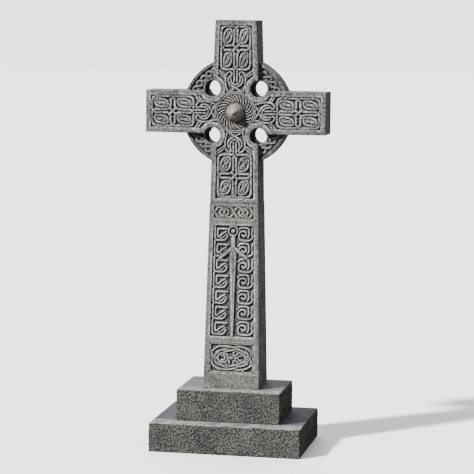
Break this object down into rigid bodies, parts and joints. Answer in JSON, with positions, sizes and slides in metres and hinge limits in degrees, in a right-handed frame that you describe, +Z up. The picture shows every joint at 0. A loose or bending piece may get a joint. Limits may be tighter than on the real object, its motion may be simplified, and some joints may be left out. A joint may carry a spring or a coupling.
{
  "type": "celtic cross gravestone",
  "caption": "Ringed stone cross with knotwork panels and a sword carved on a tapered shaft, standing on a stepped base.",
  "frame": {"origin": "middle of the lower step's underside, on the ground", "axes": "+Z up; the carved front faces -Y; the crossbar runs along X"},
  "size_m": [0.51, 0.33, 1.2],
  "materials": {
    "step_stone_lower": "bush-hammered, speckled",
    "step_stone_upper": "bush-hammered, speckled",
    "shaft_stone": "hand-carved, weathered matte",
    "head_stone": "hand-carved, weathered matte"
  },
  "bodies": {
    "root": {"lower_step": "step_stone_lower", "upper_step": "step_stone_upper", "shaft": "shaft_stone", "cross_head": "head_stone"}
  },
  "joints": []
}
